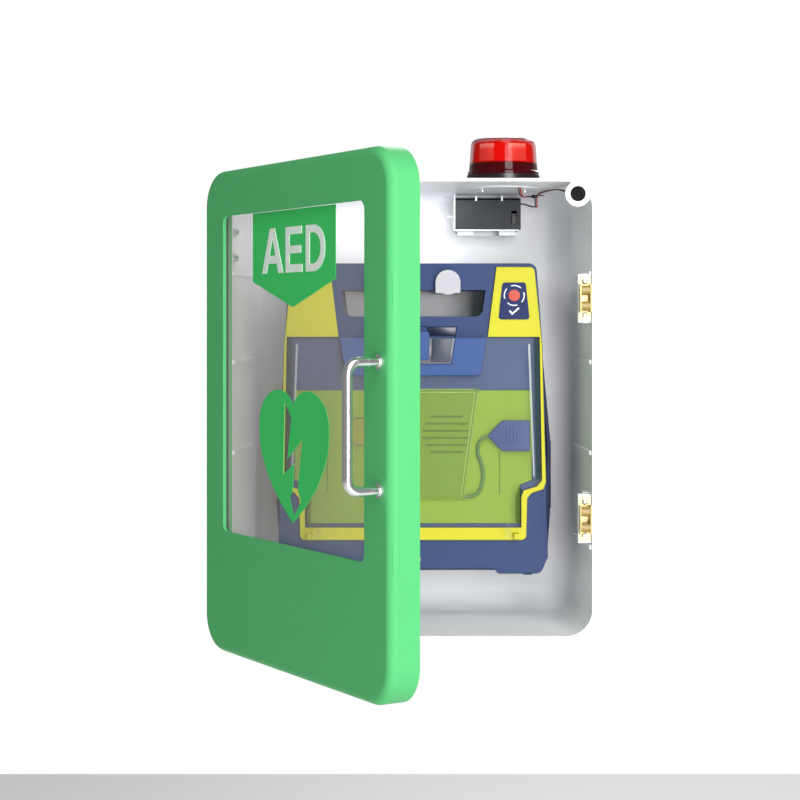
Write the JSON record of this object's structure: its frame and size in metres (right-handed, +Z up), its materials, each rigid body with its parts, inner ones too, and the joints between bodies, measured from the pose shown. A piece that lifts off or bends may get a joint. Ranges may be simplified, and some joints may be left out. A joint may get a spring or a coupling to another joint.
{
  "type": "wall defibrillator station",
  "caption": "Wall cabinet with a hinged window door standing open, alarm light on top, and a portable defibrillator with a clear lid hanging on hooks inside.",
  "frame": {"origin": "centre of the four wall screws, on the wall plane at the back of the cabinet", "axes": "+X to the right seen from the front, +Y into the wall, +Z up; the front faces -Y"},
  "size_m": [0.3643, 0.4863, 0.4828],
  "materials": {
    "cabinet_white": "moulded satin",
    "bracket_white": "satin",
    "hinge_black": "satin",
    "steel": "brushed",
    "brass": "satin",
    "roller": "smooth",
    "hook_metal": "satin",
    "box_grey": "fine texture",
    "switch_black": "satin",
    "cell_wrap": "gloss",
    "strobe_dark": "gloss",
    "strobe_red": "clear red",
    "foam": "foam",
    "board_green": "solder mask",
    "siren_black": "satin",
    "sensor_black": "gloss",
    "lead_pair": "satin",
    "splice_black": "satin",
    "door_green": "satin gloss",
    "window_clear": "clear",
    "seal_black": "matt",
    "sign_green": "printed film",
    "sign_white": "printed film",
    "magnet": "ground",
    "aed_navy": "satin",
    "aed_blue": "satin",
    "aed_yellow": "satin",
    "grip_rubber": "matt",
    "label_blue": "printed film",
    "indicator": "gloss",
    "panel_lime": "satin",
    "board_cream": "paper cone",
    "can_aluminium": "sleeved can",
    "pack_black": "satin",
    "button_orange": "gloss",
    "pouch_foil": "laminate",
    "plug_blue": "satin",
    "lid_clear": "clear tint",
    "latch_blue": "satin"
  },
  "bodies": {
    "cabinet": {"cabinet_shell": "cabinet_white", "battery_bracket": "bracket_white", "hinge_leaves_fixed": "hinge_black", "hinge_pins": "steel", "hinge_screws_fixed": "steel", "catch_bodies": "brass", "catch_screws": "steel", "hanger_hooks": "hook_metal", "hanger_screws": "steel", "battery_box": "box_grey", "battery_cover": "box_grey", "battery_cells": "cell_wrap", "strobe_base": "strobe_dark", "strobe_lens": "strobe_red", "strobe_gasket": "foam", "strobe_board": "board_green", "strobe_siren": "siren_black", "strobe_screws": "steel", "door_sensor": "sensor_black", "strobe_lead": "lead_pair", "sensor_lead": "lead_pair", "lead_splice": "splice_black"},
    "door": {"door_shell": "door_green", "window_pane": "window_clear", "window_seal": "seal_black", "arrow_sign": "sign_green", "sign_letters": "sign_white", "heart_sign": "sign_green", "door_handle": "steel", "handle_screws": "steel", "hinge_leaves_moving": "hinge_black", "hinge_screws_moving": "steel", "catch_strikes": "brass", "strike_screws": "steel", "door_magnet": "magnet"},
    "aed": {"aed_rear_shell": "aed_navy", "aed_front_shell": "aed_blue", "aed_trim": "aed_yellow", "aed_grips": "grip_rubber", "aed_feet": "grip_rubber", "case_screws": "steel", "status_panel": "label_blue", "status_light": "indicator", "aed_panel": "panel_lime", "speaker": "board_cream", "main_board": "board_green", "capacitor": "can_aluminium", "battery_pack": "pack_black", "pads_pouch": "pouch_foil", "pads_plug": "plug_blue"},
    "aed_lid": {"lid_cover": "lid_clear", "lid_latch_panel": "latch_blue"},
    "latch": {"latch_tab": "latch_blue"},
    "button": {"shock_button": "button_orange"},
    "switch": {"battery_switch": "switch_black"},
    "roller_upper_top": {"catch_roller_upper_top": "roller"},
    "roller_upper_low": {"catch_roller_upper_low": "roller"},
    "roller_lower_top": {"catch_roller_lower_top": "roller"},
    "roller_lower_low": {"catch_roller_lower_low": "roller"}
  },
  "joints": [
    {"name": "door_hinge", "type": "hinge", "parent": "cabinet", "child": "door", "pos_m": [-0.178, -0.1695, 0], "axis": [0, 0, -1], "range_deg": [-58.4, 61.6]},
    {"name": "aed_lift", "type": "slide", "parent": "cabinet", "child": "aed", "axis": [0, 0, 1], "range_m": [0, 0.0205]},
    {"name": "lid_hinge", "type": "hinge", "parent": "aed", "child": "aed_lid", "pos_m": [0, -0.097, -0.128], "axis": [1, 0, 0], "range_deg": [0, 48]},
    {"name": "latch_slide", "type": "slide", "parent": "aed_lid", "child": "latch", "axis": [0, 0, -1], "range_m": [0, 0.0034], "stiffness_N_per_m": 300, "springref_m": -0.002},
    {"name": "shock_press", "type": "slide", "parent": "aed", "child": "button", "axis": [0, 1, 0], "range_m": [0, 0.002], "stiffness_N_per_m": 700, "springref_m": -0.001},
    {"name": "switch_slide", "type": "slide", "parent": "cabinet", "child": "switch", "axis": [0, 0, 1], "range_m": [0, 0.004]},
    {"name": "roller_upper_top_give", "type": "slide", "parent": "cabinet", "child": "roller_upper_top", "axis": [0, 0, 1], "range_m": [0, 0.0012], "stiffness_N_per_m": 2200, "springref_m": -0.0006},
    {"name": "roller_upper_low_give", "type": "slide", "parent": "cabinet", "child": "roller_upper_low", "axis": [0, 0, -1], "range_m": [0, 0.0012], "stiffness_N_per_m": 2200, "springref_m": -0.0006},
    {"name": "roller_lower_top_give", "type": "slide", "parent": "cabinet", "child": "roller_lower_top", "axis": [0, 0, 1], "range_m": [0, 0.0012], "stiffness_N_per_m": 2200, "springref_m": -0.0006},
    {"name": "roller_lower_low_give", "type": "slide", "parent": "cabinet", "child": "roller_lower_low", "axis": [0, 0, -1], "range_m": [0, 0.0012], "stiffness_N_per_m": 2200, "springref_m": -0.0006}
  ]
}
